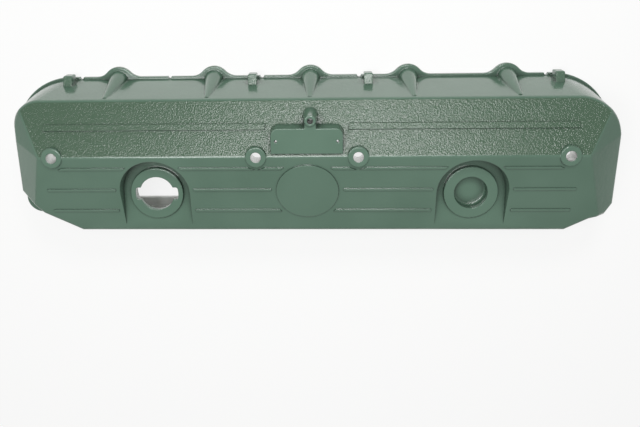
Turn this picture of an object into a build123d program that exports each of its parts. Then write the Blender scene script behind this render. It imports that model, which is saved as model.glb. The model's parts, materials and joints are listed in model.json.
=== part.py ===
"""One-piece cast aluminium valve cover for a six-cylinder diesel engine.

Frame: millimetres, +Z up, gasket face on Z = 0, length along X.
The pushrod side, with its half-round bulges, faces +Y.
The origin is under the middle of the cover's bounding box.
"""
from build123d import *
from math import radians, sqrt, tan
import os

# ---- rim and gasket flange -------------------------------------------------
RIM_WIDTH = 180.0           # over the flange, without the bulges
RIM_R_NEAR = 75.0           # plan corner radius on the bulged side
RIM_R_FAR = 20.0            # plan corner radius on the plain side
FLANGE_T = 6.0              # flange thickness
FLANGE_STEP = 3.0           # how far the flange stands out from the wall
FLANGE_EDGE_R = 1.5         # rounding of the flange's upper edge
LAND_NEAR = 10.4            # gasket land width, bulged side
LAND_FAR = 20.0             # gasket land width, plain side
LAND_END = 13.0             # gasket land width at both ends
OPENING_R_FAR = 14.0        # plan corner radius of the opening, plain side
WALL = 5.0                  # cast wall thickness

# ---- pushrod bulges --------------------------------------------------------
BULGE_COUNT = 5
BULGE_PITCH = 120.0         # the engine's cylinder spacing, which sets the rim's length
BULGE_FROM_END = (136.55, 129.95)  # outer bulges from the rim's ends
BULGE_PROUD = 12.4          # flange peak beyond the straight rim
BULGE_R = 19.0              # flange radius at a bulge
BULGE_BLEND_R = 19.0        # flange radius from bulge to straight rim
CONE_R_LOW = 12.5           # half-cone radius on the flange
CONE_R_TOP = 3.5            # half-cone radius at the eave
CONE_PROUD_TOP = 1.0        # half-cone stand-off from the wall at the eave
CONE_TIP_R = 1.0            # where the hollow in a half-cone runs out

# ---- roof ------------------------------------------------------------------
EAVE_NEAR_Z = 76.5          # bulged side wall meets the roof
EAVE_NEAR_IN = 14.0         # that edge, inboard of the straight rim
EAVE_FAR_Z = 82.2           # plain side wall meets the roof
EAVE_FAR_IN = 5.4           # that edge, inboard of the plain rim
RIDGE_Z = 108.8
RIDGE_FROM_FAR = 105.5      # ridge line, inboard of the plain rim
ROOF_R = 6.0                # rounding of the ridge, eaves, hips and end edges
INSIDE_R = 3.0              # the same edges, inside

# ---- ends: (left, right) ---------------------------------------------------
END_REF_Z = 76.0            # height at which the end walls are measured
END_IN = (27.5, 15.0)       # end wall inboard of the rim at that height
END_CORNER_R = (31.0, 49.0)  # its plan corner radius there, bulged side
RIDGE_END_IN = (64.5, 58.5)  # ridge's end, inboard of the rim
END_FALL = (0.80, 0.71)     # fall of the end slopes along X, mm per mm
END_TURN = 0.06             # their fall towards the plain side
NOSE_EASE = 0.08            # how much gentler the bulged side's end slope is
NOSE_TURN = 0.15            # its fall towards the bulged side
HIP_START_IN = (101.5, 73.0)  # hip's start on the far eave, inboard of the rim
HIP_END_IN = (49.5, 46.0)   # hip's end on the roof, inboard of the rim
HIP_END_FROM_FAR = (35.0, 21.3)
HIP_FOOT_IN = (14.0, 8.0)   # hip's foot, inboard of both rims at the corner
HIP_TAIL_IN = 25.0          # right end: the hip turns out again, to this point
HIP_TAIL_FROM_FAR = 25.0    # on the end slope, and leaves a shallow valley
# corner facet: two points of its top edge on the end slope, then its foot
FACET_IN = ((43.5, 27.5), (24.5, 11.5))  # inboard of the rim
FACET_FROM_FAR = ((43.7, 54.5), (25.8, 37.5))
FACET_FOOT_FROM_FAR = (46.0, 39.0)  # on the end wall, at the flange

# ---- oil filler and blank seats --------------------------------------------
SEAT_FROM_END = (194.25, 183.25)  # filler, blank
SEAT_FROM_FAR = 54.5
SEAT_Z = 86.7               # machined face of both seats
SEAT_R = 31.5
NECK_DEPTH = 16.0           # seat face to the neck's lower end
NECK_SKIRT = 1.5            # neck wall outside the seat radius, inside the cover
LIP_T = 5.0                 # bayonet lip
LIP_R = 20.5                # hole in the lip
EAR_R = 25.6                # reach of the two bayonet ears
EAR_W = 15.0
EAR_CORNER_R = 3.0
NECK_R = 27.0               # bore under the lip
BLANK_R = 19.4              # dished recess in the blank seat
BLANK_DEPTH = 12.0
BLANK_FLOOR_R = 3.0

# ---- the arched hollows round the seats ------------------------------------
ARCH_R = 40.0               # radius of the crown, at the floor
ARCH_BACK = 3.8             # arch centre beyond the seat centre, to the ridge
ARCH_FLOOR_RIDGE_Z = 79.8   # hollow's floor under the arch's crown
ARCH_FLOOR_OUT = 14.0       # where the floor runs out, from the plain rim
ARCH_DRAFT = 4.0            # degrees

# ---- hold-down bolts -------------------------------------------------------
BOLT_PITCH_IN = 116.0       # inner pair
BOLT_FROM_END = 80.25       # outer pair, from the rim's ends
BOLT_FROM_FAR = 105.2
BOLT_HOLE_R = 6.0
BOLT_BOSS_R = 12.0
BOLT_BOSS_Z = 109.2
BOLT_BOSS_EDGE_R = 1.2
BOLT_BOSS_INSIDE = 16.0     # boss below the ridge's inner face

# ---- label pad and tapped boss ---------------------------------------------
PAD_LENGTH = 81.0
PAD_FROM_FAR = (109.5, 138.6)
PAD_Z = 109.3
PAD_CORNER_R = 8.0
PAD_DRAFT = 3.0
PAD_EDGE_R = 1.0
PIN_HOLE_PITCH = 70.0
PIN_HOLE_R = 1.6
PIN_HOLE_DEPTH = 6.0
TAP_FROM_FAR = 148.0
TAP_X = 4.0
TAP_BOSS_R = 6.3
TAP_BOSS_DRAFT = 5.0        # degrees
TAP_BOSS_Z = 112.3
TAP_HOLE_R = 3.4            # tapping drill for an M8 thread
TAP_DEPTH = 16.0

# ---- cast trim on the roof -------------------------------------------------
STRIP_START = 47.8          # long raised strips on the bulged slope
STRIP_FROM_END = 68.25
STRIP_FROM_FAR = 136.8
STRIP_W = 7.3
STRIP_H = 1.5
ROW_FROM_FAR = (91.0, 62.8, 34.5)   # thin ribs on the plain slope
ROW_FROM_END = (85.25, 67.25, 69.25)
ROW_W = 3.2
ROW_H = 1.1
ROW_CLEAR = 6.0             # rib ends to the hollows and the round pad
ROW_BOLT_CLEAR = 4.0        # rib ends to the bolt bosses
BADGE_R = 36.0              # plain round pad between the seats
BADGE_FROM_FAR = 61.0
BADGE_H = 1.6

# ---- lugs on the bulged wall -----------------------------------------------
LUG_OUTSIDE = 57.3          # outer lugs, beyond the outer bulges
LUG_INSIDE = 49.9           # inner lugs, inboard of the next bulges
LUG_W = 10.5
LUG_PROUD = 5.6             # beyond the straight rim
LUG_Z = (12.5, 26.0)        # full-depth part of the lug
LUG_TAIL_Z = 30.0           # where its top meets the wall
LUG_WEB_W = (14.0, 9.0)     # web from the flange, at its foot and at the lug
LUG_EDGE_R = 1.0
LUG_NOTCH_OFF = 3.2         # notch in the rim beside each lug, on the middle's side
LUG_NOTCH_R = 2.6
NICK_FROM_BULGE = 64.4      # locating nick in the rim
NICK_R = 2.2

# ---- inside ----------------------------------------------------------------
RIB_T = 6.0                 # four transverse ribs
RIB_OFFSET = -12.0          # from the bolt axes
RIB_PEAK_Z = 99.0           # where the free edges' straight runs would meet
RIB_PEAK_R = 45.0           # the round between them
LEDGE_STEPS = ((13.0, 3.0), (3.0, 6.0))  # reach past the bolt axis, depth
PIN_BOSS_X = (-14.0, 19.0)  # two round bosses under the round pad
PIN_BOSS_FROM_FAR = 43.8
PIN_BOSS_R = 6.2
PIN_BOSS_H = 3.0
DOME_FROM_END = (107.25, 242.25)  # two domes on the plain wall
DOME_Z = 31.0
DOME_R = 8.0

# ---- derived ---------------------------------------------------------------
OVER = 1.0                  # cutters run this far past a face
TOUCH = 0.01                # what counts as the same place
RIM_LENGTH = (BULGE_COUNT - 1) * BULGE_PITCH + sum(BULGE_FROM_END)
BIG = 4 * RIM_LENGTH
Y_FAR = -(RIM_WIDTH + BULGE_PROUD) / 2
Y_NEAR = Y_FAR + RIM_WIDTH
X_END = (-RIM_LENGTH / 2, RIM_LENGTH / 2)
SIGN = (-1, 1)
RIDGE_Y = Y_FAR + RIDGE_FROM_FAR
EAVE_NEAR_Y = Y_NEAR - EAVE_NEAR_IN
EAVE_FAR_Y = Y_FAR + EAVE_FAR_IN
FALL_NEAR = (RIDGE_Z - EAVE_NEAR_Z) / (EAVE_NEAR_Y - RIDGE_Y)
FALL_FAR = (RIDGE_Z - EAVE_FAR_Z) / (RIDGE_Y - EAVE_FAR_Y)
LEAN_NEAR = (EAVE_NEAR_IN - FLANGE_STEP) / (EAVE_NEAR_Z - FLANGE_T)
LEAN_FAR = (EAVE_FAR_IN - FLANGE_STEP) / (EAVE_FAR_Z - FLANGE_T)
LEAN_END = [(i - FLANGE_STEP) / (END_REF_Z - FLANGE_T) for i in END_IN]
TIGHTEN = [(RIM_R_NEAR - FLANGE_STEP - r) / (END_REF_Z - FLANGE_T) for r in END_CORNER_R]
BULGE_X = [X_END[0] + BULGE_FROM_END[0] + BULGE_PITCH * i for i in range(BULGE_COUNT)]
LUG_X = [BULGE_X[0] - LUG_OUTSIDE, BULGE_X[1] + LUG_INSIDE, BULGE_X[-2] - LUG_INSIDE,
         BULGE_X[-1] + LUG_OUTSIDE]
BOLT_Y = Y_FAR + BOLT_FROM_FAR
BOLT_X = [X_END[0] + BOLT_FROM_END, -BOLT_PITCH_IN / 2, BOLT_PITCH_IN / 2,
          X_END[1] - BOLT_FROM_END]
SEAT_X = [X_END[0] + SEAT_FROM_END[0], X_END[1] - SEAT_FROM_END[1]]
SEAT_Y = Y_FAR + SEAT_FROM_FAR
ARCH_Y = SEAT_Y + ARCH_BACK


def roof_far_z(y):
    """Height of the plain slope over a point y."""
    return RIDGE_Z - FALL_FAR * (RIDGE_Y - y)


def roof_near_z(y):
    """Height of the bulged slope over a point y."""
    return RIDGE_Z - FALL_NEAR * (y - RIDGE_Y)


def above(point, normal, inset=0.0):
    """Everything on the outer side of a plane, moved inwards by inset."""
    plane = Plane(origin=point, z_dir=normal)
    return plane.offset(-inset) * Box(BIG, BIG, BIG, align=(Align.CENTER, Align.CENTER, Align.MIN))


def rim_outline(step, r_near, r_far):
    """Rounded rectangle inboard of the rim: step is (end, far, near)."""
    left, right = X_END[0] + step[0], X_END[1] - step[0]
    low, high = Y_FAR + step[1], Y_NEAR - step[2]
    outline = Pos((left + right) / 2, (low + high) / 2) * Rectangle(right - left, high - low)
    corners = outline.vertices().group_by(Axis.Y)
    outline = fillet(corners[-1], r_near)
    far_corners = outline.vertices().group_by(Axis.Y)[0]
    return fillet(far_corners, r_far)


def bulged_outline(step, r_near, r_far):
    """A rim outline with the bulges' half rounds blended into its near side."""
    inset = step[2]
    outline = rim_outline(step, r_near, r_far)
    peak_y = Y_NEAR + BULGE_PROUD - BULGE_R
    for x in BULGE_X:
        outline += Pos(x, peak_y) * Circle(BULGE_R - inset)
    near_y = Y_NEAR - inset
    half = sqrt((BULGE_R - inset) ** 2 - (near_y - peak_y) ** 2)
    feet = [x + side * half for x in BULGE_X for side in SIGN]
    roots = [v for v in outline.vertices()
             if abs(v.Y - near_y) < TOUCH and min(abs(v.X - f) for f in feet) < TOUCH]
    return fillet(roots, BULGE_BLEND_R + inset)


def drafted_box(inset):
    """The leaning side and end walls, from the gasket face to past the ridge."""
    def level(z):
        rise = z - FLANGE_T
        left = X_END[0] + FLANGE_STEP + LEAN_END[0] * rise + inset
        right = X_END[1] - FLANGE_STEP - LEAN_END[1] * rise - inset
        low = Y_FAR + FLANGE_STEP + LEAN_FAR * rise + inset
        high = Y_NEAR - FLANGE_STEP - LEAN_NEAR * rise - inset
        shape = Pos((left + right) / 2, (low + high) / 2, z) * Rectangle(right - left, high - low)
        for side in (0, 1):
            corner = shape.vertices().group_by(Axis.Y)[-1].sort_by(Axis.X)[-side]
            shape = fillet(corner, RIM_R_NEAR - FLANGE_STEP - TIGHTEN[side] * rise - inset)
        far = shape.vertices().group_by(Axis.Y)[0]
        return fillet(far, RIM_R_FAR - FLANGE_STEP - inset)
    top = RIDGE_Z + WALL / 2
    return loft([level(0).face(), level(top).face()], ruled=True)


def slopes(side):
    """The two end slopes of one end: a point and an outward normal each."""
    s = SIGN[side]
    ridge_end = Vector(X_END[side] - s * RIDGE_END_IN[side], RIDGE_Y, RIDGE_Z)
    fall = END_FALL[side]
    return [(ridge_end, Vector(s * fall, -END_TURN, 1)),
            (ridge_end, Vector(s * (fall - NOSE_EASE), NOSE_TURN, 1))]


def facet(a, b, c):
    """Plane through three points, its normal towards the plain side."""
    normal = (b - a).cross(c - a)
    return a, normal if normal.Y < 0 else normal * -1


def on_end_slope(side, inboard, from_far):
    """Point of an end slope, given from the rim and from the plain side."""
    y = Y_FAR + from_far
    drop = END_FALL[side] * (RIDGE_END_IN[side] - inboard) + END_TURN * (RIDGE_Y - y)
    return Vector(X_END[side] - SIGN[side] * inboard, y, RIDGE_Z - drop)


def corner_cut(side, inset):
    """What the steep corner facet takes off a plain side corner."""
    top = [on_end_slope(side, i, f) for i, f in zip(FACET_IN[side], FACET_FROM_FAR[side])]
    foot_x = X_END[side] - SIGN[side] * FLANGE_STEP
    foot = Vector(foot_x, Y_FAR + FACET_FOOT_FROM_FAR[side], FLANGE_T)
    return above(*facet(*top, foot), inset)


def hip_cut(side, inset):
    """What the hip takes off a plain side corner."""
    s = SIGN[side]
    start = Vector(X_END[side] - s * HIP_START_IN[side], EAVE_FAR_Y, EAVE_FAR_Z)
    end_y = Y_FAR + HIP_END_FROM_FAR[side]
    end = Vector(X_END[side] - s * HIP_END_IN[side], end_y, roof_far_z(end_y))
    foot_in = HIP_FOOT_IN[side]
    foot = Vector(X_END[side] - s * foot_in, Y_FAR + foot_in, FLANGE_T)
    cut = above(*facet(start, end, foot), inset)
    if side == 1:
        tail = on_end_slope(1, HIP_TAIL_IN, HIP_TAIL_FROM_FAR)
        cut &= above(*facet(end, tail, foot), inset)
    return cut


def under_roof(form, inset):
    """What is left of a form below the two roof slopes, moved inwards."""
    ridge = Vector(0, RIDGE_Y, RIDGE_Z)
    form -= above(ridge, Vector(0, FALL_NEAR, 1), inset)
    return form - above(ridge, Vector(0, -FALL_FAR, 1), inset)


def hull(inset, edge_r):
    """The cover's closed form, moved inwards by inset, its top edges rounded."""
    form = under_roof(drafted_box(inset), inset)
    for side in (0, 1):
        for point, normal in slopes(side):
            form -= above(point, normal, inset)
        form -= hip_cut(side, inset) + corner_cut(side, inset)
    top = EAVE_NEAR_Z - inset - edge_r
    return fillet([e for e in form.edges() if e.position_at(0.5).Z > top], edge_r)


def cone(x, inset):
    """Half-cone that carries a bulge up the wall to the eave."""
    peak_low = Y_NEAR + BULGE_PROUD - FLANGE_STEP
    peak_top = EAVE_NEAR_Y + LEAN_NEAR * ROOF_R + CONE_PROUD_TOP
    share = min(1.0, (CONE_R_LOW - inset - CONE_TIP_R) / (CONE_R_LOW - CONE_R_TOP))
    r_end = CONE_R_LOW + (CONE_R_TOP - CONE_R_LOW) * share
    y_low = peak_low - CONE_R_LOW
    y_end = y_low + (peak_top - CONE_R_TOP - y_low) * share
    low = Pos(x, y_low, 0) * Circle(CONE_R_LOW - inset)
    end = Pos(x, y_end, (EAVE_NEAR_Z - ROOF_R) * share) * Circle(r_end - inset)
    return loft([low.face(), end.face()], ruled=True)


def post(x, y, radius, low, high):
    """Upright cylinder between two heights."""
    return Pos(x, y, low) * Cylinder(radius, high - low, align=(Align.CENTER, Align.CENTER, Align.MIN))


def on_near_slope(x, y):
    """Frame lying on the bulged slope, its Z pointing out of the roof."""
    return Plane(origin=(x, y, roof_near_z(y)), x_dir=(1, 0, 0), z_dir=(0, FALL_NEAR, 1))


def on_far_slope(x, y, depth=0.0):
    """Frame lying on the plain slope, or depth below it."""
    return Plane(origin=(x, y, roof_far_z(y)), x_dir=(1, 0, 0), z_dir=(0, -FALL_FAR, 1)).offset(-depth)


def arch(x, grow, draft):
    """Arch-shaped hollow round a seat: a crown with straight legs to the plain side."""
    floor = ARCH_FLOOR_RIDGE_Z - grow
    reach = ARCH_Y - Y_FAR + RIM_WIDTH / 4
    plan = Pos(x, ARCH_Y) * Circle(ARCH_R + grow)
    plan += Pos(x, ARCH_Y) * Rectangle(2 * (ARCH_R + grow), reach, align=(Align.CENTER, Align.MAX))
    form = extrude(Pos(0, 0, floor) * plan, RIDGE_Z + WALL - floor, taper=-draft)
    out_y = Y_FAR + ARCH_FLOOR_OUT
    crown_y = ARCH_Y + ARCH_R
    fall = (roof_far_z(out_y) - ARCH_FLOOR_RIDGE_Z) / (crown_y - out_y)
    return form - above(Vector(0, crown_y, floor), Vector(0, -fall, -1))


def filler_cut():
    """Bayonet filler opening: an eared hole in the lip over a wider bore."""
    lip = Circle(LIP_R) + Rectangle(4 * EAR_R, EAR_W) & Circle(EAR_R)
    sharp = [v for v in lip.vertices() if abs(v.X) > (LIP_R + EAR_R) / 2]
    lip = fillet(sharp, EAR_CORNER_R)
    cut = extrude(Pos(SEAT_X[0], SEAT_Y, SEAT_Z - LIP_T) * lip, 2 * LIP_T)
    return cut + post(SEAT_X[0], SEAT_Y, NECK_R, 0, SEAT_Z - LIP_T)


def blank_cut():
    """Dished recess in the blank seat, with a rounded floor corner."""
    cut = post(SEAT_X[1], SEAT_Y, BLANK_R, SEAT_Z - BLANK_DEPTH, SEAT_Z + LIP_T)
    return fillet(cut.edges().group_by(Axis.Z)[0], BLANK_FLOOR_R)


def label_pad(inset):
    """Level pad for a label, standing out of the bulged slope."""
    low, high = (Y_FAR + d for d in PAD_FROM_FAR)
    plan = Rectangle(PAD_LENGTH - 2 * inset, high - low - inset)
    plan = fillet(plan.vertices().group_by(Axis.Y)[-1], PAD_CORNER_R - inset)
    top = PAD_Z - inset
    middle = (low + high - inset) / 2
    return extrude(Pos(0, middle, top) * plan, roof_near_z(high) - WALL - top, taper=-PAD_DRAFT)


def tapped_boss():
    """Round drafted boss beside the pad, joined to it by a flat-topped bridge."""
    y = Y_FAR + TAP_FROM_FAR
    foot = roof_near_z(y + TAP_BOSS_R) - WALL / 2
    spread = tan(radians(TAP_BOSS_DRAFT))
    foot_r = TAP_BOSS_R + (TAP_BOSS_Z - foot) * spread
    boss = Pos(TAP_X, y, foot) * Cone(foot_r, TAP_BOSS_R, TAP_BOSS_Z - foot,
                                      align=(Align.CENTER, Align.CENTER, Align.MIN))
    boss = fillet(boss.edges().group_by(Axis.Z)[-1], PAD_EDGE_R)
    bridge = Rectangle(2 * TAP_BOSS_R, y - Y_FAR - sum(PAD_FROM_FAR) / 2, align=(Align.CENTER, Align.MAX))
    return boss + extrude(Pos(TAP_X, y, PAD_Z) * bridge, foot - PAD_Z, taper=-TAP_BOSS_DRAFT)


def bolt_boss(x):
    """Round boss with a level face for one hold-down bolt."""
    boss = post(x, BOLT_Y, BOLT_BOSS_R, RIDGE_Z - WALL - BOLT_BOSS_INSIDE, BOLT_BOSS_Z)
    return fillet(boss.edges().group_by(Axis.Z)[-1], BOLT_BOSS_EDGE_R)


def slope_strips():
    """Two long raised strips on the bulged slope, either side of the pad."""
    end = X_END[1] - STRIP_FROM_END
    length = end - STRIP_START
    middle = (end + STRIP_START) / 2
    y = Y_FAR + STRIP_FROM_FAR
    return [on_near_slope(s * middle, y) * Box(length, STRIP_W, 2 * STRIP_H) for s in SIGN]


def slope_rows():
    """Three rows of thin ribs on the plain slope, broken at seats, pad and bolts."""
    rows = []
    for from_far, from_end in zip(ROW_FROM_FAR, ROW_FROM_END):
        row = Box(RIM_LENGTH - 2 * from_end, ROW_W, 2 * ROW_H)
        rows.append(on_far_slope(0, Y_FAR + from_far) * row)
    keep_out = [arch(x, ROW_CLEAR, 0) for x in SEAT_X]
    keep_out.append(on_far_slope(0, Y_FAR + BADGE_FROM_FAR) * Cylinder(BADGE_R + ROW_CLEAR, WALL))
    keep_out += [post(x, BOLT_Y, BOLT_BOSS_R + ROW_BOLT_CLEAR, EAVE_FAR_Z, BOLT_BOSS_Z) for x in BOLT_X]
    return [row - keep_out for row in rows]


def lug(x):
    """Block on the bulged wall over the flange, dying into the wall above."""
    wall_y = Y_NEAR - FLANGE_STEP
    face_y = Y_NEAR + LUG_PROUD
    tail_y = wall_y - LEAN_NEAR * (LUG_TAIL_Z - FLANGE_T)
    side = Polyline((tail_y - WALL / 2, LUG_Z[0]), (face_y, LUG_Z[0]), (face_y, LUG_Z[1]),
                    (tail_y, LUG_TAIL_Z), (tail_y - WALL / 2, LUG_TAIL_Z), close=True)
    block = extrude(Plane.YZ * make_face(side), LUG_W / 2, both=True)
    block = chamfer([e for e in block.edges() if e.position_at(0.5).Y > face_y - TOUCH], LUG_EDGE_R)
    foot, neck = (w / 2 for w in LUG_WEB_W)
    low = FLANGE_T / 2
    front = Polyline((-foot, low), (foot, low), (neck, LUG_Z[0]), (-neck, LUG_Z[0]), close=True)
    web = extrude(Plane.XZ * make_face(front), -Y_NEAR - FLANGE_STEP / 2)
    web &= Pos(0, Y_NEAR - FLANGE_STEP / 2, 0) * Box(
        BIG, 2 * WALL, BIG, align=(Align.CENTER, Align.MAX, Align.CENTER))
    return Pos(x, 0, 0) * (block + web)


def transverse_rib(x):
    """Rib across the inside, its free edge cut to a round-topped arch."""
    foot_far, foot_near = Y_FAR + 2 * FLANGE_STEP + WALL, Y_NEAR - 2 * FLANGE_STEP - WALL
    apex = ((foot_far + foot_near) / 2, RIB_PEAK_Z)
    gap = make_face(Polyline((foot_far, 0), (foot_far, FLANGE_T), apex, (foot_near, FLANGE_T),
                             (foot_near, 0), close=True))
    gap = fillet(gap.vertices().group_by(Axis.Y)[-1], RIB_PEAK_R)
    plate = Pos(0, 0, FLANGE_T) * Box(RIB_T, BIG, BIG, align=(Align.CENTER, Align.CENTER, Align.MIN))
    return Pos(x, 0, 0) * (plate - extrude(Plane.YZ * gap, RIB_T, both=True))


def ledges(bolt_x):
    """Two thickened steps under the roof, between a rib and its bolt's boss."""
    start = bolt_x + RIB_OFFSET
    steps = []
    for reach, depth in LEDGE_STEPS:
        width = bolt_x + reach - start
        bar = Pos(start, 0, 0) * Box(width, BIG, BIG, align=(Align.MIN, Align.CENTER, Align.CENTER))
        steps.append(bar - under_roof(bar, WALL + depth))
    return steps


def cavity():
    """Everything that is hollow under the cover."""
    opening = bulged_outline((LAND_END, LAND_FAR, LAND_NEAR), RIM_R_NEAR - LAND_END, OPENING_R_FAR)
    space = hull(WALL, INSIDE_R) + [cone(x, WALL) for x in BULGE_X] + label_pad(WALL)
    space -= Box(BIG, BIG, 2 * FLANGE_T)
    for x in SEAT_X:
        space -= arch(x, WALL, ARCH_DRAFT)
        space -= post(x, SEAT_Y, SEAT_R + NECK_SKIRT, SEAT_Z - NECK_DEPTH, RIDGE_Z)
    for x in BOLT_X:
        space -= bolt_boss(x)
        space -= transverse_rib(x + RIB_OFFSET)
        space -= ledges(x)
    wall_y = Y_FAR + FLANGE_STEP + WALL + LEAN_FAR * DOME_Z
    domes = [X_END[0] + from_end for from_end in DOME_FROM_END]
    space -= [Pos(x, wall_y - DOME_R / 3, DOME_Z) * Sphere(DOME_R) for x in domes]
    for x in PIN_BOSS_X:
        boss = Cylinder(PIN_BOSS_R, 2 * PIN_BOSS_H)
        space -= on_far_slope(x, Y_FAR + PIN_BOSS_FROM_FAR, WALL) * boss
    return space + extrude(opening, FLANGE_T)


def outside():
    """The solid outer shape, with every raised feature on it."""
    body = hull(0, ROOF_R) + [cone(x, 0) for x in BULGE_X]
    for x in SEAT_X:
        body -= arch(x, 0, ARCH_DRAFT)
        seat = post(x, SEAT_Y, SEAT_R, SEAT_Z - NECK_DEPTH, SEAT_Z)
        body += fillet(seat.edges().group_by(Axis.Z)[-1], PAD_EDGE_R)
    body += [bolt_boss(x) for x in BOLT_X]
    body += slope_strips() + slope_rows()
    body += on_far_slope(0, Y_FAR + BADGE_FROM_FAR) * Cylinder(BADGE_R, 2 * BADGE_H)
    body += label_pad(0)
    body += tapped_boss()
    flange = extrude(bulged_outline((0, 0, 0), RIM_R_NEAR, RIM_R_FAR), FLANGE_T)
    body += fillet(flange.edges().group_by(Axis.Z)[-1], FLANGE_EDGE_R)
    return body + [lug(x) for x in LUG_X]


def rim_cut(x, radius):
    """Half-round notch through the flange's edge on the bulged side."""
    return post(x, Y_NEAR, radius, -OVER, FLANGE_T + OVER)


def drilled():
    """Bolt holes, filler opening, blank recess, tapped hole, pin holes and nick."""
    pad_y = Y_FAR + sum(PAD_FROM_FAR) / 2
    cuts = [post(x, BOLT_Y, BOLT_HOLE_R, 0, BOLT_BOSS_Z + OVER) for x in BOLT_X]
    cuts += [filler_cut(), blank_cut()]
    cuts.append(post(TAP_X, Y_FAR + TAP_FROM_FAR, TAP_HOLE_R, TAP_BOSS_Z - TAP_DEPTH,
                     TAP_BOSS_Z + OVER))
    for s in SIGN:
        cuts.append(post(s * PIN_HOLE_PITCH / 2, pad_y, PIN_HOLE_R, PAD_Z - PIN_HOLE_DEPTH,
                         PAD_Z + OVER))
    cuts.append(rim_cut(BULGE_X[0] + NICK_FROM_BULGE, NICK_R))
    for x in LUG_X:
        inward = -1 if x > 0 else 1
        cuts.append(rim_cut(x + inward * (LUG_WEB_W[0] / 2 + LUG_NOTCH_OFF), LUG_NOTCH_R))
    return cuts


def valve_cover():
    """The whole casting as one solid."""
    return outside() - cavity() - drilled()


if __name__ == "__main__":
    os.makedirs("parts", exist_ok=True)
    export_step(valve_cover(), "parts/valve_cover.step")
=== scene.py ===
"""Cast valve cover in gloss engine enamel, laid out as an add-on and run as a script."""
import json
from math import radians

import bmesh
import bpy
from bpy.props import FloatProperty, FloatVectorProperty, PointerProperty, StringProperty
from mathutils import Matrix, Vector
from mathutils.bvhtree import BVHTree


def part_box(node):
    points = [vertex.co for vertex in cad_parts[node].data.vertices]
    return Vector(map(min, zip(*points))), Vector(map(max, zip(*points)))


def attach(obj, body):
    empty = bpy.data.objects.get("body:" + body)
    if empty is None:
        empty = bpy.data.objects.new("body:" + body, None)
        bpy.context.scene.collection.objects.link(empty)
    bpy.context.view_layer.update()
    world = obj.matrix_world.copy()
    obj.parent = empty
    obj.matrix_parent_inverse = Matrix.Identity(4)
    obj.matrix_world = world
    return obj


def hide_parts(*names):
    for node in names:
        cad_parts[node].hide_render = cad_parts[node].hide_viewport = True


bl_info = {
    "name": "Valve Cover",
    "version": (1, 0, 0),
    "blender": (4, 5, 0),
    "location": "3D View > Sidebar > Valve Cover",
    "description": "Finishes a cast engine valve cover and its studio",
    "category": "Object",
}

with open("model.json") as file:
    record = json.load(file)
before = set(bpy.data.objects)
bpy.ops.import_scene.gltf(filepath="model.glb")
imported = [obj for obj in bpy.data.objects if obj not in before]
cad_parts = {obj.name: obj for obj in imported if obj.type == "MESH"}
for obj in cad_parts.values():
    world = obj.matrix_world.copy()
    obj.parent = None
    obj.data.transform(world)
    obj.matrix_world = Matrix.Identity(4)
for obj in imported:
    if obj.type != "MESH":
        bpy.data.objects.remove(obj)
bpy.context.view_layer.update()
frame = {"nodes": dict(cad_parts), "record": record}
LOW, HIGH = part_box("valve_cover")
MM = 0.001

# ---- the casting's shape ----
WELD = 1e-6  # corners of triangles that are nearer than this are one
FLANGE_TOP = 6.0 * MM
# plan corners, in mm, of what fills the gasket opening's plain-side corners out to the steep facets
CORNER_FILLS = {
    "left": ((-361.5, -49.5), (-361.5, -77.5), (-334.2, -77.5)),
    "right": ((341.6, -77.5), (361.5, -77.5), (361.5, -58.2)),
}

# ---- which face gets which finish ----
ENAMEL, BARE, MILLED = range(3)
GASKET_SKIN = 0.05 * MM  # a downward face below this height is the gasket face
FACING_DOWN = -0.9  # highest normal z of a downward face
UPRIGHT = 0.1  # largest normal z of a bore's wall
BORE_REACH = 1.05  # a bore's wall lies within this many radii of its axis
LIFT = 0.2 * MM  # how far in front of a face a test ray starts
EVERY_WAY_BUT_DOWN = [Vector(way) for way in ((0, 0, 1), (1, 0, 0), (-1, 0, 0), (0, 1, 0), (0, -1, 0))]

# ---- patterns ----
SLOPE_OUT = (0.0, 0.471, 0.882)  # square to the bulged side's slope
# cosines of a face's angle to it, where the coarse skin starts and where it is full
COARSE_FROM, COARSE_FULL = 0.97, 0.995
# open shares of a point's surroundings, where the painted shade is darkest and where there is none
SHADE_FULL, SHADE_CLEAR = 0.3, 0.88
NEARLY_ALL = {"in_From_Min": 0.3, "in_From_Max": 0.7}  # nearly all of a noise's values lie between these
MIDDLE = {"in_From_Min": 0.35, "in_From_Max": 0.65}  # the middle ones do, for clearer patches
NEAR_SAMPLES = 6  # rays of a rounded edge or a darkened root

# ---- the stage ----
TABLE_REACH = 6.0  # from the origin to the table's edge
LAMP_SPAN = 0.9  # share of the cover's length and width that is lit from below
FLAG_REACH, FLAG_FAR, FLAG_HEIGHT = 2.0, 1.6, 0.42  # half length, distance and height of the black card
SENSOR_MM = 36.0


# ---- small helpers ----------------------------------------------------------
def linear(colour):
    """Linear RGBA from an sRGB hex string such as #4C7059."""
    digits = colour.lstrip("#")
    channels = [int(digits[i:i + 2], 16) / 255 for i in (0, 2, 4)]
    return [c / 12.92 if c <= 0.04045 else ((c + 0.055) / 1.055) ** 2.4 for c in channels] + [1.0]


def add(tree, kind, links=(), **settings):
    """Adds a node, sets its properties and sockets, and links its inputs.

    Settings name a property, or a socket where "in_" and its index or name follow.
    Links are (output socket, input index or name). A Mix node's two colours are its
    inputs 6 and 7, and the mixed colour is its output 2."""
    node = tree.nodes.new(kind)
    for name, value in settings.items():
        if name.startswith("in_"):
            key = name[3:]
            node.inputs[int(key) if key.isdigit() else key.replace("_", " ")].default_value = value
        else:
            setattr(node, name, value)
    for socket, target in links:
        tree.links.new(socket, node.inputs[target])
    return node


def new_material(name):
    """An empty node material, its tree and its output node."""
    material = bpy.data.materials.new(name)
    material.use_nodes = True
    tree = material.node_tree
    tree.nodes.clear()
    return material, tree, add(tree, "ShaderNodeOutputMaterial")


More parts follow.
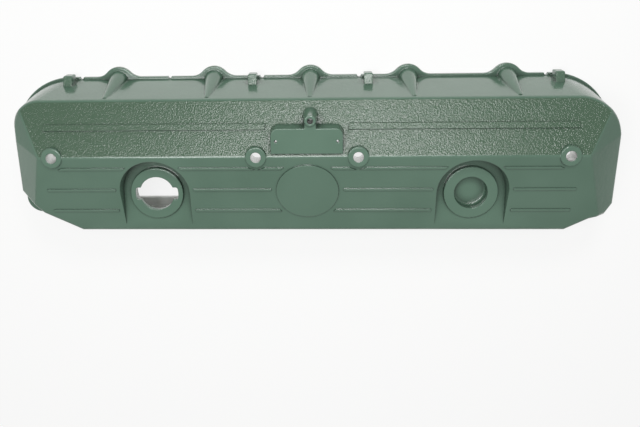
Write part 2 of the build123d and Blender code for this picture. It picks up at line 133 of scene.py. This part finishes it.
def settings():
    """The scene's valve cover settings."""
    return bpy.context.scene.valve_cover


def shown(name, data):
    """A new object in the scene."""
    thing = bpy.data.objects.new(name, data)
    bpy.context.scene.collection.objects.link(thing)
    return thing


# ---- materials --------------------------------------------------------------
def engine_enamel():
    """Gloss alkyd engine enamel, sprayed over a sand-cast skin.

    The film follows the casting's grain and adds its own orange peel, so light
    breaks into small glints where it reflects a lamp and stays deep elsewhere."""
    look = settings().enamel
    material, tree, output = new_material("gloss_engine_enamel")
    coordinates = add(tree, "ShaderNodeTexCoord")
    place = coordinates.outputs["Object"]
    # casting grain, drawn coarser than the real one so that it shows at this distance
    grain = add(tree, "ShaderNodeTexNoise", [(place, "Vector")],
                in_Scale=1 / look.grain, in_Detail=1.5, in_Roughness=0.6)
    # orange peel of the sprayed film: wide, shallow waves
    peel = add(tree, "ShaderNodeTexNoise", [(place, "Vector")], in_Scale=1 / look.peel, in_Detail=1.0)
    # slow drift of the film's thickness over the whole cover
    drift = add(tree, "ShaderNodeTexNoise", [(place, "Vector")], in_Scale=1 / look.drift, in_Detail=2.0)
    tint = add(tree, "ShaderNodeMapRange", [(drift.outputs["Fac"], "Value")], **MIDDLE)
    paint = add(tree, "ShaderNodeMix", [(tint.outputs[0], 0)], data_type="RGBA",
                in_6=linear(look.colour), in_7=linear(look.colour_deep))
    # the bulged side's slope is coarse-skinned, and its colour is painted darker there as painted shade for
    # the grain's self-shadow;
    # the walls, the plain slope and the pads are fine
    faces = add(tree, "ShaderNodeVectorMath", [(coordinates.outputs["Normal"], 0)],
                operation="DOT_PRODUCT", in_1=SLOPE_OUT)
    coarse = add(tree, "ShaderNodeMapRange", [(faces.outputs["Value"], "Value")],
                 in_From_Min=COARSE_FROM, in_From_Max=COARSE_FULL)
    paint = add(tree, "ShaderNodeMix", [(coarse.outputs[0], 0), (paint.outputs[2], 6)],
                data_type="RGBA", in_7=linear(look.colour_coarse_shaded))
    # painted shade: the paint is darkened in the roots and hollows of the raised features, as far as their
    # surroundings block the light
    near = add(tree, "ShaderNodeAmbientOcclusion", samples=NEAR_SAMPLES, only_local=True,
               in_Distance=look.painted_shade_reach)
    root = add(tree, "ShaderNodeMapRange", [(near.outputs["AO"], "Value")],
               in_From_Min=SHADE_FULL, in_From_Max=SHADE_CLEAR, in_To_Min=1.0, in_To_Max=0.0)
    paint = add(tree, "ShaderNodeMix", [(root.outputs[0], 0), (paint.outputs[2], 6)],
                data_type="RGBA", in_7=linear(look.colour_painted_shade))
    # a rounded cast edge, then the film's waves, then the grain, full only on the coarse slope
    depth = add(tree, "ShaderNodeMapRange", [(coarse.outputs[0], "Value")], in_To_Min=look.grain_fine)
    soft_edge = add(tree, "ShaderNodeBevel", samples=NEAR_SAMPLES, in_Radius=look.edge_round)
    film = add(tree, "ShaderNodeBump", [(peel.outputs["Fac"], "Height"), (soft_edge.outputs[0], "Normal")],
               in_Strength=1.0, in_Distance=look.peel_depth)
    skin = add(tree, "ShaderNodeBump",
               [(grain.outputs["Fac"], "Height"), (film.outputs[0], "Normal"),
                (depth.outputs[0], "Strength")], in_Distance=look.grain_depth)
    # the film is thinner and less glossy on top of the grains
    gloss = add(tree, "ShaderNodeMapRange", [(grain.outputs["Fac"], "Value")],
                in_To_Min=look.roughness, in_To_Max=look.roughness_top, **NEARLY_ALL)
    shader = add(tree, "ShaderNodeBsdfPrincipled",
                 [(paint.outputs[2], "Base Color"), (gloss.outputs[0], "Roughness"),
                  (skin.outputs[0], "Normal"), (skin.outputs[0], "Coat Normal")],
                 in_IOR=1.5, in_Coat_Weight=look.coat, in_Coat_Roughness=look.coat_roughness)
    tree.links.new(shader.outputs[0], output.inputs["Surface"])
    return material


def bare_casting():
    """Sand-cast aluminium as it left the mould: a dull, even grey with a fine grit.

    Its oxide skin hides part of the metal, so it reflects less than a cut face."""
    look = settings().metal
    material, tree, output = new_material("bare_sand_cast_aluminium")
    place = add(tree, "ShaderNodeTexCoord").outputs["Object"]
    grit = add(tree, "ShaderNodeTexNoise", [(place, "Vector")], in_Scale=1 / look.grit, in_Detail=4.0)
    # stains and cooler patches of the mould
    blotch = add(tree, "ShaderNodeTexNoise", [(place, "Vector")], in_Scale=1 / look.blotch, in_Detail=3.0)
    tone = add(tree, "ShaderNodeMapRange", [(blotch.outputs["Fac"], "Value")],
               in_From_Min=0.35, in_From_Max=0.68)
    base = add(tree, "ShaderNodeMix", [(tone.outputs[0], 0)], data_type="RGBA",
               in_6=linear(look.cast), in_7=linear(look.cast_dull))
    soft_edge = add(tree, "ShaderNodeBevel", samples=NEAR_SAMPLES, in_Radius=look.edge_round)
    bump = add(tree, "ShaderNodeBump", [(grit.outputs["Fac"], "Height"), (soft_edge.outputs[0], "Normal")],
               in_Strength=0.6, in_Distance=look.grit_depth)
    rough = add(tree, "ShaderNodeMapRange", [(grit.outputs["Fac"], "Value")],
                in_To_Min=0.48, in_To_Max=0.66, **NEARLY_ALL)
    shader = add(tree, "ShaderNodeBsdfPrincipled",
                 [(base.outputs[2], "Base Color"), (rough.outputs[0], "Roughness"),
                  (bump.outputs[0], "Normal")], in_Metallic=0.75)
    tree.links.new(shader.outputs[0], output.inputs["Surface"])
    return material


def machined_face():
    """Face-milled aluminium: brighter than the casting, with the cutter's fine lines."""
    look = settings().metal
    material, tree, output = new_material("face_milled_aluminium")
    place = add(tree, "ShaderNodeTexCoord").outputs["Object"]
    # the cutter's marks, drawn out along the rim
    along = add(tree, "ShaderNodeMapping", [(place, "Vector")], in_Scale=(0.04, 1.0, 1.0))
    lines = add(tree, "ShaderNodeTexNoise", [(along.outputs[0], "Vector")],
                in_Scale=1 / look.cutter_step, in_Detail=2.0)
    tone = add(tree, "ShaderNodeMapRange", [(lines.outputs["Fac"], "Value")], **NEARLY_ALL)
    base = add(tree, "ShaderNodeMix", [(tone.outputs[0], 0)], data_type="RGBA",
               in_6=linear(look.milled), in_7=linear(look.milled_dull))
    rough = add(tree, "ShaderNodeMapRange", [(lines.outputs["Fac"], "Value")],
                in_To_Min=0.3, in_To_Max=0.46, **NEARLY_ALL)
    bump = add(tree, "ShaderNodeBump", [(lines.outputs["Fac"], "Height")],
               in_Strength=0.3, in_Distance=look.cutter_depth)
    shader = add(tree, "ShaderNodeBsdfPrincipled",
                 [(base.outputs[2], "Base Color"), (rough.outputs[0], "Roughness"),
                  (bump.outputs[0], "Normal")], in_Metallic=1.0)
    tree.links.new(shader.outputs[0], output.inputs["Surface"])
    return material


def light_table():
    """Back-lit white acrylic: a matt sheet with its lamp under the cover, so the cover's open
    underside is lit and the background stays white, with a soft shadow left on it."""
    look = settings().studio
    material, tree, output = new_material("back_lit_white_acrylic")
    matt = add(tree, "ShaderNodeBsdfDiffuse", in_Color=linear(look.acrylic))
    glow = add(tree, "ShaderNodeEmission", in_Strength=1.0)  # white
    place = add(tree, "ShaderNodeTexCoord").outputs["Object"]
    span = add(tree, "ShaderNodeVectorMath", [(place, 0)], operation="ABSOLUTE")
    span = add(tree, "ShaderNodeSeparateXYZ", [(span.outputs[0], 0)])
    along = add(tree, "ShaderNodeMath", [(span.outputs["X"], 0)], operation="LESS_THAN",
                in_1=HIGH.x * LAMP_SPAN)
    across = add(tree, "ShaderNodeMath", [(span.outputs["Y"], 0)], operation="LESS_THAN",
                 in_1=HIGH.y * LAMP_SPAN)
    under = add(tree, "ShaderNodeMath", [(along.outputs[0], 0), (across.outputs[0], 1)], operation="MULTIPLY")
    lit = add(tree, "ShaderNodeMapRange", [(under.outputs[0], "Value")],
              in_To_Min=look.table_spill, in_To_Max=look.table_glow)
    ray = add(tree, "ShaderNodeLightPath")
    share = add(tree, "ShaderNodeMapRange",
                [(ray.outputs["Is Camera Ray"], "Value"), (lit.outputs[0], "To Min")],
                in_To_Max=look.table_white)
    mix = add(tree, "ShaderNodeMixShader",
              [(share.outputs[0], 0), (matt.outputs[0], 1), (glow.outputs[0], 2)])
    tree.links.new(mix.outputs[0], output.inputs["Surface"])
    return material


# ---- settings ---------------------------------------------------------------
class EnamelSettings(bpy.types.PropertyGroup):
    """Paint on the outside of the cover."""
    colour: StringProperty(name="Colour", description="Enamel colour, sRGB hex", default="#5D7968")
    colour_deep: StringProperty(name="Deep colour", description="Where the film is thicker",
                                default="#577362")
    # painted shade on the coarse slope, standing in for the grain's self-shadow
    colour_coarse_shaded: StringProperty(name="Coarse skin colour", description="On the coarse slope",
                                  default="#465F4B")
    # painted shade laid into the roots and hollows, and how far from them it reaches
    colour_painted_shade: StringProperty(name="Root colour", description="Painted shade in a root",
                                default="#15271D")
    painted_shade_reach: FloatProperty(name="Root reach", description="How far a root darkens the paint",
                              default=14 * MM, unit="LENGTH")
    drift: FloatProperty(name="Tint drift", description="Size of the patches where the film is thicker",
                         default=70 * MM, unit="LENGTH")
    roughness: FloatProperty(name="Roughness", description="Roughness of the film between the grains",
                             default=0.12, min=0, max=1)
    roughness_top: FloatProperty(name="Roughness on grains", description="The same on top of the grains",
                                 default=0.22, min=0, max=1)
    coat: FloatProperty(name="Gloss coat", description="Weight of the glossy top layer",
                        default=0.4, min=0, max=1)
    coat_roughness: FloatProperty(name="Coat roughness", description="Roughness of that layer",
                                  default=0.06, min=0, max=1)
    grain: FloatProperty(name="Grain", description="Size of the casting's grain",
                         default=1.7 * MM, unit="LENGTH")
    grain_depth: FloatProperty(name="Grain depth", description="Depth of the grain",
                               default=0.65 * MM, unit="LENGTH")
    grain_fine: FloatProperty(name="Fine grain", description="Share of that depth on the finer faces",
                              default=0.06, min=0, max=1)
    peel: FloatProperty(name="Orange peel", description="Size of the film's waves",
                        default=5 * MM, unit="LENGTH")
    peel_depth: FloatProperty(name="Peel depth", description="Depth of the film's waves",
                              default=0.12 * MM, unit="LENGTH")
    edge_round: FloatProperty(name="Edge round", description="Radius that rounds the cast edges",
                              default=1.5 * MM, unit="LENGTH")


class MetalSettings(bpy.types.PropertyGroup):
    """Bare aluminium inside, in the drilled holes and on the gasket face."""
    cast: StringProperty(name="Casting", description="Bare casting, sRGB hex", default="#C6C8C5")
    cast_dull: StringProperty(name="Casting, dull", description="Stained patches, sRGB hex",
                              default="#A6A9A5")
    blotch: FloatProperty(name="Patches", description="Size of the stained patches",
                          default=28 * MM, unit="LENGTH")
    grit: FloatProperty(name="Grit", description="Size of the casting's grit",
                        default=1.2 * MM, unit="LENGTH")
    grit_depth: FloatProperty(name="Grit depth", description="Depth of the grit",
                              default=0.25 * MM, unit="LENGTH")
    edge_round: FloatProperty(name="Edge round", description="Radius that rounds the cast edges",
                              default=1.5 * MM, unit="LENGTH")
    milled: StringProperty(name="Milled face", description="Milled aluminium, sRGB hex", default="#E0E1DF")
    milled_dull: StringProperty(name="Milled face, dull", description="Between the cutter marks",
                                default="#CBCDCA")
    cutter_step: FloatProperty(name="Cutter marks", description="Distance between the cutter's marks",
                               default=0.8 * MM, unit="LENGTH")
    cutter_depth: FloatProperty(name="Mark depth", description="Depth of the cutter's marks",
                                default=0.05 * MM, unit="LENGTH")


class StudioSettings(bpy.types.PropertyGroup):
    """Light table, lamps and camera."""
    acrylic: StringProperty(name="Table", description="Colour of the table's sheet, sRGB hex",
                            default="#F4F4F2")
    table_glow: FloatProperty(name="Table glow", description="Share of its own light in what the table gives",
                              default=0.9, min=0, max=1)
    table_spill: FloatProperty(name="Table spill", description="The same share beyond the cover",
                               default=0.15, min=0, max=1)
    table_white: FloatProperty(name="Table white", description="The same share as the camera sees it",
                               default=0.8, min=0, max=1)
    sky: FloatProperty(name="Room light", description="Strength of the even room light", default=0.25, min=0)
    sky_seen: FloatProperty(name="Room in the gloss", description="Strength of the room in reflections",
                            default=0.5, min=0)
    key_place: FloatVectorProperty(name="Key lamp", description="Place of the lamp over the bulged side",
                                   subtype="TRANSLATION", default=(0.1, 0.86, 1.0))
    key_size: FloatVectorProperty(name="Key lamp size", description="Its length and width", size=2,
                                  unit="LENGTH", default=(0.3, 0.3))
    key_power: FloatProperty(name="Key lamp power", description="Its power", default=4.4, subtype="POWER")
    fill_place: FloatVectorProperty(name="Overhead lamp", description="Place of the big overhead softbox",
                                    subtype="TRANSLATION", default=(-0.15, 0.32, 1.45))
    fill_size: FloatVectorProperty(name="Overhead lamp size", description="Its length and width", size=2,
                                   unit="LENGTH", default=(1.1, 0.6))
    fill_power: FloatProperty(name="Overhead lamp power", description="Its power", default=15.5,
                              subtype="POWER")
    camera_place: FloatVectorProperty(name="Camera", description="Camera position", subtype="TRANSLATION",
                                      default=(0.0168, 0.2399, 0.8622))
    camera_turn: FloatVectorProperty(name="Camera turn", description="Camera rotation", subtype="EULER",
                                     default=(-0.28716, 0.04194, -0.01803))
    shift: FloatVectorProperty(name="Lens shift", description="Sets the cover in the upper half", size=2,
                               default=(0.0469, -0.0992))
    lens: FloatProperty(name="Lens", description="Focal length in millimetres on a 36 mm sensor",
                        default=39.36)


class ValveCoverSettings(bpy.types.PropertyGroup):
    """All settings of the valve cover scene."""
    enamel: PointerProperty(type=EnamelSettings)
    metal: PointerProperty(type=MetalSettings)
    studio: PointerProperty(type=StudioSettings)
    crease: FloatProperty(name="Crease", description="Edges sharper than this stay sharp", subtype="ANGLE",
                          default=radians(28))


# ---- the casting ------------------------------------------------------------
def merged_copy(node, name):
    """A copy of a CAD node's mesh, its loose triangles welded and its normals made anew."""
    form = bmesh.new()
    form.from_mesh(frame["nodes"][node].data)
    bmesh.ops.remove_doubles(form, verts=form.verts, dist=WELD)
    form.verts.index_update()
    mesh = bpy.data.meshes.new(name)
    mesh.from_pydata([v.co for v in form.verts], [], [[v.index for v in f.verts] for f in form.faces])
    form.free()
    return shown(name, mesh)


def baked(piece):
    """Applies the modifiers of a piece to its mesh."""
    depsgraph = bpy.context.evaluated_depsgraph_get()
    mesh = bpy.data.meshes.new_from_object(piece.evaluated_get(depsgraph))
    piece.modifiers.clear()
    piece.data = mesh
    return piece


def corner_fill(name, corners):
    """A prism as thick as the flange, its plan corners given anticlockwise in mm."""
    count = len(corners)
    points = [(x * MM, y * MM, z) for z in (LOW.z, FLANGE_TOP) for x, y in corners]
    base = tuple(reversed(range(count)))
    top = tuple(range(count, 2 * count))
    sides = [(i, (i + 1) % count, (i + 1) % count + count, i + count) for i in range(count)]
    mesh = bpy.data.meshes.new(name)
    mesh.from_pydata(points, [], [base, top] + sides)
    return shown(name, mesh)


def close_corners(piece):
    """Widens the flange under the two steep corner facets, so that no slit is left."""
    fills = [corner_fill(f"fill_{side}", corners) for side, corners in CORNER_FILLS.items()]
    for fill in fills:
        union = piece.modifiers.new(fill.name, "BOOLEAN")
        union.operation = "UNION"
        union.solver = "EXACT"
        union.object = fill
    baked(piece)
    for fill in fills:
        bpy.data.objects.remove(fill)


def drilled_holes(record):
    """Centre x, centre y and radius of the bolt holes and the tapped hole, drilled after painting."""
    holes = []
    for mount in record["mounts"]:
        x, y = mount["pos_m"][:2]
        dims = mount["dims"]
        if mount["kind"] == "bolt_pattern":
            reach = dims["spacing_x_mm"] * MM / 2
            radius = dims["hole_r_mm"] * MM
            holes += [(x - reach, y, radius), (x + reach, y, radius)]
        elif mount["kind"] == "threaded_hole":
            holes.append((x, y, dims["r_mm"] * MM))
    return holes


def in_hole(holes, point, normal):
    """Whether a face is the wall of one of the drilled holes."""
    if abs(normal.z) > UPRIGHT:
        return False
    for x, y, radius in holes:
        off = Vector((point.x - x, point.y - y))
        if off.length < radius * BORE_REACH and off.dot(normal.xy) < 0:
            return True
    return False


def sheltered(tree, point, normal):
    """Whether a face lies inside the cover: every way but down is blocked."""
    start = point + normal * LIFT
    return all(tree.ray_cast(start, way)[0] is not None for way in EVERY_WAY_BUT_DOWN)


def finish_of(tree, holes, polygon):
    """Which of the three finishes a face has."""
    point, normal = polygon.center, polygon.normal
    if point.z < GASKET_SKIN and normal.z < FACING_DOWN or in_hole(holes, point, normal):
        return MILLED
    return BARE if sheltered(tree, point, normal) else ENAMEL


class VALVECOVER_OT_casting(bpy.types.Operator):
    """Paint the cover's outside and leave its inside, drilled holes and gasket face bare"""
    bl_idname = "valvecover.casting"
    bl_label = "Valve cover casting"

    def execute(self, context):
        piece = merged_copy("valve_cover", "cover_casting")
        close_corners(piece)
        mesh = piece.data
        mesh.materials.clear()
        for material in (engine_enamel(), bare_casting(), machined_face()):
            mesh.materials.append(material)
        tree = BVHTree.FromPolygons([v.co for v in mesh.vertices], [p.vertices for p in mesh.polygons])
        holes = drilled_holes(frame["record"])
        for polygon in mesh.polygons:
            polygon.material_index = finish_of(tree, holes, polygon)
        mesh.shade_smooth()
        mesh.set_sharp_from_angle(angle=settings().crease)
        weighted = piece.modifiers.new("weighted", "WEIGHTED_NORMAL")
        weighted.keep_sharp = True
        baked(piece)
        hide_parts("valve_cover")
        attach(piece, "root")
        return {"FINISHED"}


# ---- the stage --------------------------------------------------------------
def table_top():
    """The light table's sheet, under the gasket face."""
    name = "light_table_top"
    mesh = bpy.data.meshes.new(name)
    corners = [(-1, -1), (1, -1), (1, 1), (-1, 1)]
    mesh.from_pydata([(x * TABLE_REACH, y * TABLE_REACH, LOW.z) for x, y in corners], [], [(0, 1, 2, 3)])
    mesh.materials.append(light_table())
    shown(name, mesh)


def flag_card():
    """A black card beyond the bulged side, for a dark line in the gloss above the table."""
    name = "horizon_flag"
    mesh = bpy.data.meshes.new(name)
    corners = [(-FLAG_REACH, 0), (FLAG_REACH, 0), (FLAG_REACH, FLAG_HEIGHT), (-FLAG_REACH, FLAG_HEIGHT)]
    mesh.from_pydata([(x, FLAG_FAR, z) for x, z in corners], [], [(0, 1, 2, 3)])
    material, tree, output = new_material("black_felt")
    felt = add(tree, "ShaderNodeBsdfDiffuse", in_Color=linear("#0A0A0A"))
    tree.links.new(felt.outputs[0], output.inputs["Surface"])
    mesh.materials.append(material)
    card = shown(name, mesh)
    card.visible_camera = False


def room_light():
    """Even white room: white to the eye, weaker in the gloss and weaker still as a light."""
    look = settings().studio
    world = bpy.data.worlds.new("white_room")
    bpy.context.scene.world = world
    world.use_nodes = True
    tree = world.node_tree
    tree.nodes.clear()
    ray = add(tree, "ShaderNodeLightPath")
    strength = add(tree, "ShaderNodeMapRange", [(ray.outputs["Is Glossy Ray"], "Value")],
                   in_To_Min=look.sky, in_To_Max=look.sky_seen)
    strength = add(tree, "ShaderNodeMath", [(strength.outputs[0], 0), (ray.outputs["Is Camera Ray"], 1)],
                   operation="MAXIMUM")
    glow = add(tree, "ShaderNodeBackground", [(strength.outputs[0], "Strength")])
    add(tree, "ShaderNodeOutputWorld", [(glow.outputs[0], "Surface")])


def softbox(name, place, aim, size, power):
    """A rectangular soft lamp at a place, aimed at a point."""
    data = bpy.data.lights.new(name, "AREA")
    data.shape = "RECTANGLE"
    data.size, data.size_y = size
    data.energy = power
    lamp = shown(name, data)
    lamp.location = place
    lamp.rotation_euler = (Vector(aim) - Vector(place)).to_track_quat("-Z", "Y").to_euler()


def studio_camera():
    """The camera, over the bulged side and looking down on the roof."""
    look = settings().studio
    data = bpy.data.cameras.new("camera")
    data.lens = look.lens
    data.sensor_width = SENSOR_MM
    data.shift_x, data.shift_y = look.shift
    camera = shown("camera", data)
    camera.location = look.camera_place
    camera.rotation_euler = look.camera_turn
    bpy.context.scene.camera = camera


class VALVECOVER_OT_stage(bpy.types.Operator):
    """Lay the light table, hang the lamps and set up the camera"""
    bl_idname = "valvecover.stage"
    bl_label = "Studio"

    def execute(self, context):
        look = settings().studio
        centre = (LOW + HIGH) / 2
        table_top()
        room_light()
        softbox("key_softbox", look.key_place, centre, look.key_size, look.key_power)
        softbox("overhead_softbox", look.fill_place, centre, look.fill_size, look.fill_power)
        flag_card()
        studio_camera()
        context.scene.view_settings.view_transform = "Standard"
        return {"FINISHED"}


class VALVECOVER_PT_panel(bpy.types.Panel):
    """Lists the pieces of the valve cover scene"""
    bl_label = "Valve Cover"
    bl_idname = "VALVECOVER_PT_panel"
    bl_space_type = "VIEW_3D"
    bl_region_type = "UI"
    bl_category = "Valve Cover"

    def draw(self, context):
        for operator in (VALVECOVER_OT_casting, VALVECOVER_OT_stage):
            self.layout.operator(operator.bl_idname)


CLASSES = (EnamelSettings, MetalSettings, StudioSettings, ValveCoverSettings, VALVECOVER_OT_casting,
           VALVECOVER_OT_stage, VALVECOVER_PT_panel)


def register():
    for cls in CLASSES:
        bpy.utils.register_class(cls)
    bpy.types.Scene.valve_cover = PointerProperty(type=ValveCoverSettings)


def unregister():
    del bpy.types.Scene.valve_cover
    for cls in reversed(CLASSES):
        bpy.utils.unregister_class(cls)


def main():
    register()
    bpy.ops.valvecover.casting()
    bpy.ops.valvecover.stage()


if __name__ == "__main__":
    main()
